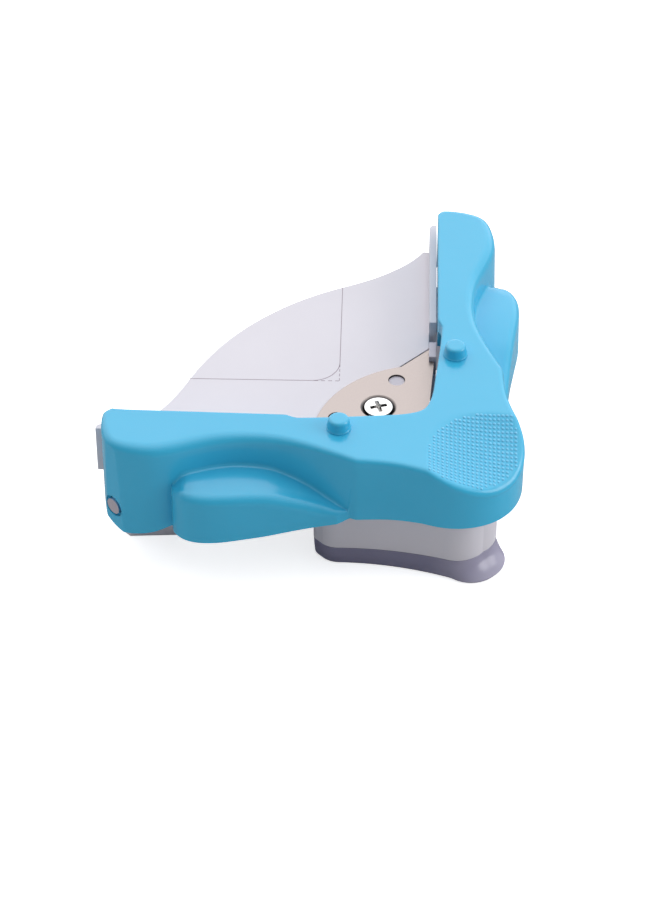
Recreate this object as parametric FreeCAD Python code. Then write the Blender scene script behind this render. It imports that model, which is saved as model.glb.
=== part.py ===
import FreeCAD, Part
import math
import os

from FreeCAD import Vector

# Corner rounder: a V-shaped press lever straddles a base with a paper tray. Millimetres.
# +X runs along the hinge line, +Y towards the side where paper goes in, +Z up.
# Arm places are given as (along, out): along the arm from the guide corner, and
# outwards from the line through that corner.

corner_y = 9.625        # guide corner, where the two guide lines cross
lever_top = 28.0
lever_wall = 1.7
lever_roof = 26.1       # underside of the lever's top
lever_inner = 17.6      # inner edge of each arm
lever_end = 40.9
arm_rim = 8.2           # lower rim of the lever beside the hinge
pad_rim = 15.0          # lower rim elsewhere
lip_rim = 21.3          # inner lip beside the fences
nose_rim = 25.4         # inner lip over the die
knob_height = 1.9
rim_r = 1.0             # rounding of the lever's outer top edge
dish_r = 30.0           # hollow of the thumb pad
dish_y = -26.7          # where the hollow starts
pad_low = 22.0          # below the pad's lowest edge
tray_top = 20.8
tray_thick = 1.6
skirt_bottom = 14.2     # lower rim of the tray's skirt and of the fence tabs
fence_in = 15.9         # paper side of each fence
fence_out = 17.2
fence_top = 23.7
fence_end = 41.9
fence_start = 13.2
tray_arc = 50.0         # free edge of the tray
tray_back = 22.35
hinge_y = 9.0
hinge_z = 13.5
pin_r = 1.5
lug_end = 41.2
lever_face_x = 45.5     # flat end face around each hinge pin
run_gap = 0.05          # running clearance of pins and posts
foot_top = 4.0          # seam between body and chip cover
foot_tip = 6.2          # half width of the foot's nose
foot_nose = -36.4       # front of the nose
fence_round = 1.1       # corner at the end of each fence
body_front_top = 17.0   # in front of the punch
room_front = -30.0
body_wall = 1.4
corner_r = 5.0          # radius that the tool cuts
spring_at = (14.2, -14.7)
spring_r = 2.85
wire_r = 0.35
well_floor = 13.0
post_at = (7.6, -24.9)
post_r = 1.25
post_low = 12.6
post_top = 21.8
punch_spring_at = (0.0, -27.4)
punch_screw_at = (3.4, -27.6)
cover_pivot = (-10.6, 2.4)      # y and z
carriage_low = 19.6
carriage_top = 22.0
blade_top = 24.0
blade_gap = 0.08
die_top = 21.0
die_thick = 0.8
plate_out = 16.8        # widest place of the die plate's flanks
seat_low = 18.0
slot_floor = 16.2       # dark slot between the die and the lever's lip
screw_y = -10.0
peg_at = (7.4, -7.0)
peg_r = 1.45

up = Vector(0, 0, 1)
parts = {}


def at(x, y, z=0.0):
    """Point given from the guide corner."""
    return Vector(x, y + corner_y, z)


def spot(along, out, z=0.0):
    """Point beside the right arm."""
    return at((along + out) / math.sqrt(2), (along - out) / math.sqrt(2), z)


def line(a, b):
    return Part.LineSegment(a, b).toShape()


def arc(a, b, c):
    return Part.Arc(a, b, c).toShape()


def curve(points, start=None, end=None):
    spline = Part.BSplineCurve()
    if start is None:
        spline.interpolate(points)
    else:
        spline.interpolate(Points=points, InitialTangent=start, FinalTangent=end)
    return spline.toShape()


def chain(points):
    return [line(a, b) for a, b in zip(points, points[1:])]


def mirrored(shape):
    return shape.mirror(Vector(0, 0, 0), Vector(1, 0, 0))


def closed_wire(half):
    """Closed outline from its right half."""
    return Part.Wire(Part.__sortEdges__(half + [mirrored(edge) for edge in half]))


def prism(wire, low, high):
    face = Part.Face(wire)
    face.translate(Vector(0, 0, low))
    return face.extrude(Vector(0, 0, high - low))


def both(shape):
    return shape.fuse(mirrored(shape))


def arm_box(along_low, along_high, out_low, out_high, low, high):
    """Box along the right arm."""
    box = Part.makeBox(along_high - along_low, out_high - out_low, high - low,
                       Vector(along_low, -out_high, low))
    box.rotate(Vector(0, 0, 0), up, 45)
    box.translate(Vector(0, corner_y, 0))
    return box


def notch_box(reach, limit, low, high):
    """Square block on its corner, behind both lines at this distance out."""
    return arm_box(-reach, limit, -limit, reach, low, high)


def post(x, y, radius, low, high):
    return Part.makeCylinder(radius, high - low, at(x, y, low))


def bar(x_low, x_high, radius):
    """Round bar on the hinge line."""
    return Part.makeCylinder(radius, x_high - x_low, at(x_low, hinge_y, hinge_z), Vector(1, 0, 0))


def block(x, y_low, y_high, low, high):
    """Box across the centre plane, x wide to each side."""
    return Part.makeBox(2 * x, y_high - y_low, high - low, at(-x, y_low, low))


# --- lever ---------------------------------------------------------------

# right half of the notch round the die: x, y and the turn of its normal
notch = [(0.0, -21.1, 0), (2.0, -20.6, 22), (6.5, -17.7, 38), (10.75, -14.3, 42), (14.9, -10.8, 45),
         (17.8, -8.0, 45)]


def lever_outline(inset, draft):
    """Outline of the V lever; draft runs from 0 at its top to 1 at its rim."""
    inner = lever_inner + inset
    end = lever_end - inset
    tip, *sides = [at(x + inset * math.sin(math.radians(turn)), y - inset * math.cos(math.radians(turn)))
                   for x, y, turn in notch]
    notch_edge = curve([tip] + sides, Vector(1, 0, 0), Vector(1, 1, 0))
    inner_edge = chain([sides[-1], spot(9.0, inner), spot(end, inner), spot(end, 21.6)])
    shift = 0.5 * draft - inset
    kink = spot(-3.5, 28.8 + 0.9 * draft - inset)
    outer_edge = curve([spot(end, 21.6), spot(38.6 + shift / 2, 26.0 + shift / 2), spot(35, 27.5 + shift),
                        spot(31, 27.8 + shift), spot(26.5, 26.6 + shift), spot(21, 24.7 + shift),
                        spot(16, 23.9 + shift), spot(10, 24.1 + shift), spot(4, 25.7 + shift), kink])
    pad_y = -31.0 + 1.4 * draft
    pad_r = 10.4 + 1.1 * draft - inset
    first = math.radians(-4)
    middle = math.radians(-47)
    pad_start = at(pad_r * math.cos(first), pad_y + pad_r * math.sin(first))
    neck = at(13.5 + 1.2 * draft - 0.8 * inset, -28.4 + 0.6 * inset)
    neck_edge = curve([kink, neck, pad_start])
    pad_edge = arc(pad_start, at(pad_r * math.cos(middle), pad_y + pad_r * math.sin(middle)),
                   at(0, pad_y - pad_r))
    return closed_wire([notch_edge] + inner_edge + [outer_edge, neck_edge, pad_edge])


def lever_loft(inset, low, high):
    """Drafted block of the lever between two heights."""
    wires = []
    for height in (low, high):
        draft = (lever_top - height) / (lever_top - arm_rim)
        wire = lever_outline(inset, draft)
        wire.translate(Vector(0, 0, height))
        wires.append(wire)
    return Part.makeLoft(wires, True, True)


wing_out = [(28.3, 26.4), (27.9, 29.2), (25.8, 31.7), (21.5, 32.6), (15.5, 31.9), (9.6, 30.9),
            (4.0, 30.3), (-2.0, 29.8)]
wing_high = 21.0
wing_low = 11.4


def thumb_dish(drop):
    """Tilted cylinder that hollows the pad, let down by a distance."""
    tilt = math.atan2(4.4, 14.7)
    dish = Part.makeCylinder(dish_r, 80, Vector(0, 0, -40))
    dish.rotate(Vector(0, 0, 0), Vector(1, 0, 0), 90 + math.degrees(tilt))
    dish.translate(at(0, dish_y - dish_r * math.sin(tilt), lever_top + dish_r * math.cos(tilt) - drop))
    return dish


def rounded_rim(solid):
    """Rounds the outer top edge of the lever, round the pad too."""
    top = [edge for edge in solid.Edges if edge.BoundBox.ZMin > pad_low]
    splines = [edge for edge in top if edge.Curve.TypeId == "Part::GeomBSplineCurve"]
    arcs = [edge for edge in top
            if edge.Curve.TypeId == "Part::GeomCircle" and edge.CenterOfMass.y < -20]
    return solid.makeFillet(rim_r, splines + arcs)


def wing(inset):
    """Finger rest on the outside of the right arm."""
    edge = [spot(along - (inset if along > 27 else 0), out - inset) for along, out in wing_out]
    back = [edge[-1], spot(-2.0, 24.0), spot(28.3 - inset, 20.0), edge[0]]
    plan = prism(Part.Wire([curve(edge)] + chain(back)), wing_low - 1, wing_high + 1)
    top = wing_high - inset
    corners = [(-3.0, 15.4), (-3.0, 15.9 - inset), (1.0, 16.9 - inset), (6.0, 19.0 - inset),
               (11.0, 20.6 - inset), (15.0, top), (29.0, top), (29.0, wing_low), (20.0, wing_low),
               (12.0, 12.0), (5.0, 13.2)]
    loop = [Vector(along, 0, z) for along, z in corners]
    side = Part.Face(Part.makePolygon(loop + loop[:1])).extrude(Vector(0, -40, 0))
    side.rotate(Vector(0, 0, 0), up, 45)
    side.translate(Vector(0, corner_y, 0))
    return plan.common(side)


def press_lever():
    dish = thumb_dish(0.0)
    solid = rounded_rim(lever_loft(0, arm_rim, lever_top).cut(dish))
    body = solid.fuse(both(wing(0)))
    cavity = lever_loft(lever_wall, arm_rim, lever_roof)
    pocket = both(wing(1.5).cut(solid))
    pocket.translate(Vector(0, 0, -0.01))
    body = body.cut(cavity).cut(pocket)
    body = body.cut(notch_box(80, 28.6, arm_rim - 1, pad_rim).cut(both(wing(0))))
    lip_back = lever_inner + lever_wall + 0.1
    body = body.cut(notch_box(lip_back, lever_end - lever_wall, arm_rim - 1, lip_rim))
    body = body.cut(notch_box(lip_back + 1.2, 9.4, arm_rim - 1, nose_rim))
    bosses = both(bar(41.7, lever_face_x, 2.7))
    body = body.fuse(bosses)
    body = body.cut(both(Part.makeBox(9, 40, 40, at(lever_face_x, -10, 0))))
    heel = Part.makeCylinder(7.0, 100, at(-50, 9.5, arm_rim + 7.0), Vector(1, 0, 0))
    body = body.cut(block(50, 9.5, 20, arm_rim - 1, arm_rim + 7.0).cut(heel))
    # the pad's roof follows the dish
    roof = lever_loft(lever_wall - 0.1, pad_rim + 3, lever_top).common(block(14, -42, -26.5, 0, 40))
    body = body.fuse(roof.common(thumb_dish(lever_wall)).cut(dish))
    nose = Part.makeCylinder(1.5, 3.6, at(-1.8, -25.2, blade_top + 1.65), Vector(1, 0, 0))
    rib = block(1.8, -26.0, -24.4, 25.0, lever_top - 1.0)
    x, y = spring_at
    body = body.cut(both(post(x, y, 3.6, arm_rim, lever_roof)))
    knob = post(x, y, 2.1, lever_top - 1, lever_top + knob_height)
    stem = post(x, y, 2.0, 14.0, lever_top - 1)
    body = body.fuse([nose, rib, both(knob), both(stem)])
    body = body.cut(both(post(x, y, 0.9, 13.0, 22.0)))
    body = body.cut(both(bar(36, lever_face_x + 3, pin_r + run_gap)))
    return body.removeSplitter()


parts["press_lever"] = press_lever()


# --- base ----------------------------------------------------------------

def tray_outline(inset):
    """Tray between the fences, with its free edge bowed out and back in."""
    side = fence_in + 0.6
    centre = tray_back - tray_arc
    radius = tray_arc - inset
    turn = math.radians(21.5)
    bend = at(radius * math.sin(turn), centre + radius * math.cos(turn))
    half = math.radians(10.5)
    tip_x = 36.9 - 0.7 * inset
    return closed_wire([
        line(spot(-side, side), spot(fence_start - 3 - inset, side)),
        line(spot(fence_start - 3 - inset, side), spot(37.2 - inset, side)),
        line(spot(37.2 - inset, side), at(tip_x, 16.0 - inset)),
        curve([at(tip_x, 16.0 - inset), at(32.7, 15.5 - inset), at(28.2, 15.9 - inset), bend],
              Vector(-1, -0.25, 0), Vector(-math.cos(turn), math.sin(turn), 0)),
        arc(bend, at(radius * math.sin(half), centre + radius * math.cos(half)),
            at(0, centre + radius))])


def foot_outline(ear, flank, tip, tip_y):
    """Plan of the foot under the lever's pad: two ears and a rounded nose."""
    back = -12.4
    return closed_wire([
        line(at(0, back), at(ear - 1.5, back)),
        arc(at(ear - 1.5, back), at(ear - 0.44, back - 0.44), at(ear, back - 1.5)),
        line(at(ear, back - 1.5), at(ear, -15.6)),
        arc(at(ear, -15.6), at(ear - 0.45, -17.1), at(ear - 1.5, -18.4)),
        arc(at(ear - 1.5, -18.4), at(*flank), at(*tip)),
        arc(at(*tip), at(tip[0] * 0.72, tip[1] + (tip_y - tip[1]) * 0.68), at(0, tip_y))])


def foot(low, high, inset=0.0):
    outline = foot_outline(18.9 - inset, (12.0 - 0.8 * inset, -24.4 + 0.6 * inset),
                           (foot_tip - inset, -33.0 + 0.2 * inset), foot_nose + inset)
    return prism(outline, low, high)


def arm_foot():
    """Foot under the hinge end of an arm, with a slanted outer corner."""
    inner = fence_in - 0.6
    corners = [spot(28.0, inner), spot(38.2, inner), spot(38.2, 17.5), spot(36.7, 19.0), spot(28.0, 18.5)]
    return Part.Wire([line(a, b) for a, b in zip(corners, corners[1:] + corners[:1])])


def base():
    tray = prism(tray_outline(0), tray_top - tray_thick, tray_top)
    skirt = prism(tray_outline(0), skirt_bottom, tray_top).cut(
        prism(tray_outline(1.5), skirt_bottom - 1, tray_top))
    fence = arm_box(fence_start, fence_end, fence_in, fence_out, skirt_bottom, fence_top)
    corner = arm_box(fence_end - fence_round, fence_end + 1, fence_in - 1, fence_in + fence_round, 0, 30)
    pillar = Part.makeCylinder(fence_round, 30, spot(fence_end - fence_round, fence_in + fence_round))
    fence = fence.cut(corner.cut(pillar))
    wall = arm_box(2.0, 36.8, fence_in + 0.2, fence_out, 4.5, tray_top)
    wall = wall.fuse(prism(arm_foot(), 0.0, 9.0))
    wall = wall.fuse(arm_box(29.0, 35.8, fence_in - 1.0, fence_out, 8.0, tray_top - 1))
    lug = bar(31.0, lug_end, 3.2)
    web = arm_box(29.0, 35.0, fence_out - 0.5, 20.5, 6.0, hinge_z)
    body = foot(foot_top, tray_top).cut(block(30, -50, room_front - 0.8, body_front_top, 40))
    floor = die_plan(0.0, seat_low - 1.6, seat_low + 1.3).common(block(30, -13, -3.4, 0, 40))
    ears = both(Part.makeBox(1.8, 3.1, 7.0, at(12.6, -12.3, 1.0)).fuse(
        Part.makeBox(1.8, 3.6, 3.9, at(12.6, -12.8, foot_top + 0.1))))
    solid = tray.fuse([skirt, both(fence), both(wall), both(lug), both(web), body, floor, ears])
    ribs = [block(0.6, -12.0, tray_back - 3, skirt_bottom, tray_top - 1),
            both(Part.makeBox(30, 1.2, 5.6, at(0, 2.0, skirt_bottom)))]
    inside = prism(tray_outline(1.0), 0, tray_top + 1)
    solid = solid.fuse([rib.common(inside) for rib in ribs])
    # chip chamber, open below; its roof carries the punch and the die
    chamber = foot(foot_top - 1, 12.2, body_wall).cut(both(post(*spring_at, 4.6, 0, 13)))
    solid = solid.cut(chamber)
    chute = block(5.6, -23.6, -15.0, 10, 30).cut(die_support())
    carriage_room = block(9.7, -26.9, -22.7, 15.2, 30).fuse(block(5.7, room_front, -26.9, 15.2, 30))
    solid = solid.cut(chute).cut(carriage_room)
    x, y = spring_at
    solid = solid.cut(both(post(x, y, 3.6, well_floor, 30)).fuse(both(post(x, y, 2.4, 0, 14))))
    solid = solid.cut(both(post(x, y, 3.5, foot_top - 1, well_floor - 1.5)))
    solid = solid.cut(both(post(*post_at, post_r, post_low, 20))).cut(post(*punch_spring_at, 1.95, 13.4, 20))
    # seat recess and screw boss
    solid = solid.cut(seat_block(seat_low, 30)).cut(plate_blank(die_top - die_thick, 30))
    solid = solid.fuse(post(0, screw_y, 3.2, 12.5, seat_low))
    solid = solid.cut(post(0, screw_y, 1.05, 13.6, 30))
    # slots beside the fences, and hinge pin bores
    slot = arm_box(-9.0, fence_start, fence_in, fence_out + 1.0, slot_floor, 30)
    solid = solid.cut(both(slot)).cut(both(bar(32.5, 50, pin_r)))
    solid = solid.cut(both(trunnion(0.05)))
    return solid.removeSplitter()


def seat_block(low, high):
    """Plan of the die seat: a wedge between the fences with a tip of the cut radius."""
    return die_plan(0.0, low, high).common(block(30, -30, -4.6, 0, 40))


def die_plan(inset, low, high):
    side = fence_in - inset
    centre = -side * math.sqrt(2) + (corner_r - inset) * math.sqrt(2)
    radius = corner_r - inset
    touch = at(radius / math.sqrt(2), centre - radius / math.sqrt(2))
    return prism(closed_wire([
        arc(at(0, centre - radius),
            at(radius * math.sin(math.pi / 8), centre - radius * math.cos(math.pi / 8)), touch),
        line(touch, at(22 - inset, 22 - side * math.sqrt(2))),
        line(at(22 - inset, 22 - side * math.sqrt(2)), at(0, 22 - side * math.sqrt(2)))]), low, high)


def die_support():
    """Tongue under the die plate, up to the die seat."""
    return die_plan(0.3, 12.2, seat_low)


def flank(low, high):
    """Flared flank of the die plate, outside the line of the fence."""
    inside = fence_in - 0.5
    corners = [spot(-8.5, inside, low), spot(-8.0, fence_in, low), spot(5.5, plate_out, low),
               spot(5.5, inside, low)]
    return Part.Face(Part.makePolygon(corners + corners[:1])).extrude(Vector(0, 0, high - low))


def plate_blank(low, high):
    """Die plate before its holes: the tongue, flared flanks and a round crown."""
    crown = post(0, -22.2, 20.2, low, high).common(block(10.6, -40, 0, low, high))
    inner = die_plan(0.0, low, high).common(crown.fuse(block(30, -30, -5.0, low, high)))
    return inner.fuse(both(flank(low, high))).removeSplitter()


def trunnion(gap):
    """Pivot stub at the back of the chip cover, with its gap."""
    return Part.makeCylinder(0.9 + gap, 1.9, at(12.5, *cover_pivot), Vector(1, 0, 0))


parts["base"] = base()


# --- die -----------------------------------------------------------------

def die_plate():
    plate = plate_blank(die_top - die_thick, die_top)
    sink = Part.makeCone(2.1, 3.2, die_thick, at(0, screw_y, die_top - die_thick))
    plate = plate.cut(sink)
    return plate.cut(both(post(*peg_at, peg_r + 0.05, 0, 30)))


def die_seat():
    """Moulded wedge under the plate with two locating pegs and an ear at each side."""
    top = die_top - die_thick
    seat = seat_block(seat_low, top)
    seat_side = block(30, -30, -4.6, 0, 40)
    ear = arm_box(5.6, 9.7, fence_in - 0.5, fence_out, seat_low, top).common(seat_side)
    ear = ear.fuse(arm_box(5.6, 9.7, fence_in, fence_out, top, die_top + 1.0))
    seat = seat.fuse(both(ear))
    seat = seat.cut(post(0, screw_y, 1.2, 0, 30))
    seat = seat.cut(Part.makeCone(1.2, 2.0, 0.8, at(0, screw_y, top - 0.8)))
    pegs = both(post(*peg_at, peg_r, top, die_top - 0.35))
    return seat.fuse(pegs).removeSplitter()


def cross_screw(x, y, head_r, head_low, head_high, shank_r, shank_low):
    """Screw with a cross recess, head up."""
    head = Part.makeCone(shank_r, head_r, head_high - 0.25 - head_low, at(x, y, head_low))
    rim = post(x, y, head_r, head_high - 0.25, head_high)
    screw = head.fuse([rim, post(x, y, shank_r, shank_low, head_low)])
    for turn in (0, 90):
        slot = Part.makeBox(head_r * 1.1, head_r * 0.26, 1.0,
                            Vector(-head_r * 0.55, -head_r * 0.13, head_high - 0.7))
        slot.rotate(Vector(0, 0, 0), up, turn + 20)
        slot.translate(at(x, y))
        screw = screw.cut(slot)
    return screw


parts["die_plate"] = die_plate()
parts["die_seat"] = die_seat()
parts["die_screw"] = cross_screw(0, screw_y, 2.4, die_top - 1.5, die_top + 0.15, 1.05, 13.6)


# --- punch ---------------------------------------------------------------

def punch_blade():
    """Hardened block whose front edge is the hollow of the cut corner."""
    blade = block(5.2, -29.4, -17.0, carriage_top, blade_top)
    blade = blade.cut(die_plan(-blade_gap, carriage_top - 1, blade_top + 1))
    return blade.cut(both(post(*punch_screw_at, 0.8, 0, 30)))


def punch_holder():
    """Carriage that slides on two posts and carries the blade."""
    holder = block(9.4, -26.6, -23.0, carriage_low, carriage_top)
    holder = holder.fuse(block(5.4, -29.7, -26.6, carriage_low, carriage_top))
    holder = holder.cut(both(post(*post_at, post_r + run_gap, 0, 30)))
    holder = holder.cut(both(post(*punch_screw_at, 0.7, carriage_low + 0.6, 30)))
    return holder.cut(post(*punch_spring_at, 1.95, 0, carriage_low + 0.9))


parts["punch_blade"] = punch_blade()
parts["punch_holder"] = punch_holder()
for name, side in (("left", -1), ("right", 1)):
    x, y = punch_screw_at
    screw = post(side * x, y, 0.7, carriage_low + 0.7, blade_top)
    head = post(side * x, y, 1.3, blade_top, blade_top + 0.55)
    socket = post(side * x, y, 0.5, blade_top + 0.1, blade_top + 0.6)
    parts["punch_screw_" + name] = screw.fuse(head).cut(socket)
    x, y = post_at
    parts["guide_post_" + name] = post(side * x, y, post_r, post_low, post_top)


# --- springs, stop screws and hinge pins -----------------------------------

def coil(x, y, radius, wire, low, high, turns):
    """Closed helix of round wire."""
    pitch = (high - low - 2 * wire) / turns
    path = Part.makeHelix(pitch, pitch * turns, radius)
    ring = Part.Wire(Part.makeCircle(wire, Vector(radius, 0, 0), Vector(0, 1, 0)))
    spring = Part.Wire(path).makePipeShell([ring], True, True)
    spring.translate(at(x, y, low + wire))
    return spring


x, y = spring_at
for name, side in (("left", -1), ("right", 1)):
    parts["lever_spring_" + name] = coil(side * x, y, spring_r, wire_r, well_floor + 0.03,
                                         lever_roof - 0.05, 5)
    shank = post(side * x, y, 0.9, 11.2, 21.5)
    washer_head = post(side * x, y, 2.85, 9.9, 11.2)
    socket = post(side * x, y, 1.0, 9.8, 10.6)
    parts["stop_screw_" + name] = shank.fuse(washer_head).cut(socket)
    pin = bar(32.6, lever_face_x + 0.1, pin_r)
    parts["hinge_pin_" + name] = pin if side > 0 else mirrored(pin)
parts["punch_spring"] = coil(*punch_spring_at, 1.5, 0.25, 13.45, carriage_low + 0.85, 6)


# --- chip cover ------------------------------------------------------------

def chip_cover():
    """Cover of the chip chamber, with a lip that flares out under the pad."""
    low = foot_outline(18.6, (10.9, -25.9), (5.9, -34.6), -39.4)
    high = foot_outline(18.9, (12.0, -24.4), (foot_tip, -33.0), foot_nose)
    high.translate(Vector(0, 0, foot_top - 0.05))
    cup = Part.makeLoft([low, high], True, True)
    hollow = foot(1.3, foot_top + 1, 1.6).cut(block(30, -60, -34.4, 0, 40))
    pivot_y, pivot_z = cover_pivot
    arm = Part.makeBox(1.9, 2.8, 2.7, at(10.6, -12.8, 1.0))
    tongue = block(2.5, -34.4, -33.4, 1.0, 7.0).fuse(block(2.5, -34.0, -33.4, 0.5, 7.0))
    return cup.cut(hollow).fuse([both(arm), both(trunnion(0.0)), tongue]).removeSplitter()


parts["chip_cover"] = chip_cover()

os.makedirs("parts", exist_ok=True)
for node, shape in parts.items():
    shape.exportStep("parts/" + node + ".step")
    print(node, shape.isValid(), len(shape.Solids), round(shape.Volume, 2),
          [round(v, 2) for v in (shape.BoundBox.XMin, shape.BoundBox.XMax, shape.BoundBox.YMin,
                                 shape.BoundBox.YMax, shape.BoundBox.ZMin, shape.BoundBox.ZMax)])
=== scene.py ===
import bmesh
import bpy
import math
import numpy as np
from mathutils import Matrix, Vector


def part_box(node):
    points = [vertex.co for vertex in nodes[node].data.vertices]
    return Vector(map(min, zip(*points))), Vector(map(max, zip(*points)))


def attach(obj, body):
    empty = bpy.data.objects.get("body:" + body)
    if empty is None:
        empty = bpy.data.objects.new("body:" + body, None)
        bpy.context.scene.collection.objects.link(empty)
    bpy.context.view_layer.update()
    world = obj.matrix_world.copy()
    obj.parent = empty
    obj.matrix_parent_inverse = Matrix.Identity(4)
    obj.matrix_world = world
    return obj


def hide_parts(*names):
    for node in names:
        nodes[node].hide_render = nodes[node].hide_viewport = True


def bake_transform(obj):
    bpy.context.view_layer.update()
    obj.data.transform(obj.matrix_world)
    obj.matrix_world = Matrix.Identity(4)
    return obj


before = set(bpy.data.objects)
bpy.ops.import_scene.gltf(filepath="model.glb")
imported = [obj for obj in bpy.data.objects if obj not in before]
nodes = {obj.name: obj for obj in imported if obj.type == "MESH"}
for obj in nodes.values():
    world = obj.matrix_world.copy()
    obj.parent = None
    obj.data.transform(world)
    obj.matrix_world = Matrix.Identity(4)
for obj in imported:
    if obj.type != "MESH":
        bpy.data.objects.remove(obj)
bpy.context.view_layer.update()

mm = 0.001
root2 = math.sqrt(2.0)

# Places are in mm: x and y from the guide corner where the two fences meet, z from the floor.
pinLow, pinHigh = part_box("hinge_pin_left")
pinForward, knobRise, plateRise, pinProud = 9.0, 1.9, 0.2, 0.1
cornerY = (pinLow.y + pinHigh.y) / 2 / mm - pinForward
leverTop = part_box("press_lever")[1].z / mm - knobRise
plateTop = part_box("die_plate")[1].z / mm
trayTop = plateTop - plateRise
faceX = -pinLow.x / mm - pinProud  # flat around each hinge pin


def inFrame(points):
    return [(x * mm, (y + cornerY) * mm, z * mm) for x, y, z in points]


def armSpot(along, out):
    return ((along + out) / root2, (along - out) / root2)


def makePiece(name, verts, faces, sharpAngle=38.0, weld=0.0):
    mesh = bpy.data.meshes.new(name)
    mesh.from_pydata(inFrame(verts), [], faces)
    work = bmesh.new()
    work.from_mesh(mesh)
    if weld:
        bmesh.ops.remove_doubles(work, verts=work.verts, dist=weld * mm)
    bmesh.ops.recalc_face_normals(work, faces=work.faces)
    work.to_mesh(mesh)
    work.free()
    mesh.shade_smooth()
    mesh.set_sharp_from_angle(angle=math.radians(sharpAngle))
    piece = bpy.data.objects.new(name, mesh)
    bpy.context.scene.collection.objects.link(piece)
    return piece


def joinRings(rings, closed=True, capStart=True, capEnd=True):
    count = len(rings[0])
    verts = [p for ring in rings for p in ring]
    faces = []
    for r in range(len(rings) - 1):
        for i in range(count if closed else count - 1):
            j = (i + 1) % count
            faces.append((r * count + i, r * count + j, (r + 1) * count + j, (r + 1) * count + i))
    if capStart:
        faces.append(tuple(range(count))[::-1])
    if capEnd:
        faces.append(tuple((len(rings) - 1) * count + i for i in range(count)))
    return verts, faces


def lathe(profile, cx, cy, steps=48):
    rings = []
    for radius, z in profile:
        rings.append([(cx + radius * math.cos(2 * math.pi * k / steps),
                       cy + radius * math.sin(2 * math.pi * k / steps), z) for k in range(steps)])
    return joinRings(rings)


def combine(*parts):
    verts, faces = [], []
    for partVerts, partFaces in parts:
        start = len(verts)
        verts += partVerts
        faces += [tuple(i + start for i in face) for face in partFaces]
    return verts, faces


# --- curves in plan ---

def splineThrough(points, counts):
    pts = np.array(points, float)
    t = np.concatenate([[0.0], np.cumsum(np.linalg.norm(np.diff(pts, axis=0), axis=1))])
    n = len(pts)
    h = np.diff(t)
    a = np.zeros((n, n))
    b = np.zeros((n, 2))
    a[0, 0] = a[-1, -1] = 1.0
    for i in range(1, n - 1):
        a[i, i - 1], a[i, i], a[i, i + 1] = h[i - 1], 2 * (h[i - 1] + h[i]), h[i]
        b[i] = 6 * ((pts[i + 1] - pts[i]) / h[i] - (pts[i] - pts[i - 1]) / h[i - 1])
    m = np.linalg.solve(a, b)
    out = []
    for i in range(n - 1):
        for k in range(counts[i]):
            s = h[i] * k / counts[i]
            u = h[i] - s
            out.append((m[i] * u ** 3 + m[i + 1] * s ** 3) / (6 * h[i])
                       + (pts[i] / h[i] - m[i] * h[i] / 6) * u
                       + (pts[i + 1] / h[i] - m[i + 1] * h[i] / 6) * s)
    out.append(pts[-1])
    return out


# --- lever ---

lever = {
    "rim": 8.6, "padRim": 15.5, "kinkRim": 14.5, "inner": 17.35, "end": 40.45, "cornerRound": 1.8,
    "roof": 26.8, "wall": 1.7, "padWall": 0.6, "easePasses": 8, "kinkPasses": 2,
    "lip": 21.3, "noseLip": 25.4, "dishRadius": 30.0, "dishStart": -25.3, "dishFall": 0.315,
    "dishSoft": 0.07, "innerRound": 0.35, "topColumns": 34, "heelStart": 5.9, "heelRound": 8.6,
    "counts": [14, 20, 16, 16, 46, 22, 18, 18, 18, 26, 24, 18, 14, 14, 16, 16],
    "innerRun": [0, 1.8, 3.8, 6.1, 9.0, 13.2, 18.7, 23.7, 28.8, 33.0, 40.6, 46.1, 49.5, 51.3, 52.9, 54.4,
                 55.7],
    "round": [0.4, 1.2, 1.5, 1.8, 2.0, 2.0, 1.9, 1.7, 1.5, 1.2, 0.9, 0.9, 1.0, 1.0, 1.0, 1.0, 1.0],
    "tilt": 0.027, "level": -6.0, "dishDrop": 0.3,
    "notch": [(17.7, -7.9), (14.7, -10.55), (10.53, -14.03), (6.3, -17.45), (1.95, -20.5), (0.0, -21.05),
              (-1.95, -20.5)],
    "pad": [((13.35, -28.3), (1.2, 0.2)), ((10.9, -32.9), (0.9, 0.5)), ((9.5, -35.8), (0.7, 0.7)),
            ((7.4, -38.4), (0.5, 0.7)), ((4.1, -40.5), (0.2, 0.5)), ((0.0, -41.25), (0.0, 0.3)),
            ((-4.1, -40.5), (-0.2, 0.5))],
}
wing = {
    "round": 1.9, "drop": 0.75, "root": 0.6,
    "edge": [(28.3, 26.4), (27.9, 29.2), (25.8, 31.5), (21.5, 32.4), (15.5, 31.75), (9.6, 30.9),
             (4.0, 30.3), (-2.0, 29.8), (-5.0, 29.6)],
    "fade": (0.0, -3.4),
    "top": [(-4.5, 15.2), (-2.0, 16.0), (1.0, 17.2), (6.0, 19.6), (11.0, 21.3), (15.0, 21.8), (19.0, 22.0),
            (25.2, 22.0), (26.2, 21.85), (27.0, 21.4), (27.6, 20.75), (28.0, 20.0), (28.3, 18.8),
            (40.0, 18.8)],
    "bottom": [(-6.0, 14.6), (-3.0, 14.4), (5.0, 13.2), (12.0, 12.0), (20.0, 11.4), (25.3, 11.2),
               (28.3, 11.0), (31.0, 9.9), (34.0, 9.2), (37.0, 8.8), (39.0, 8.6), (60.0, 8.6)],
}


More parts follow.
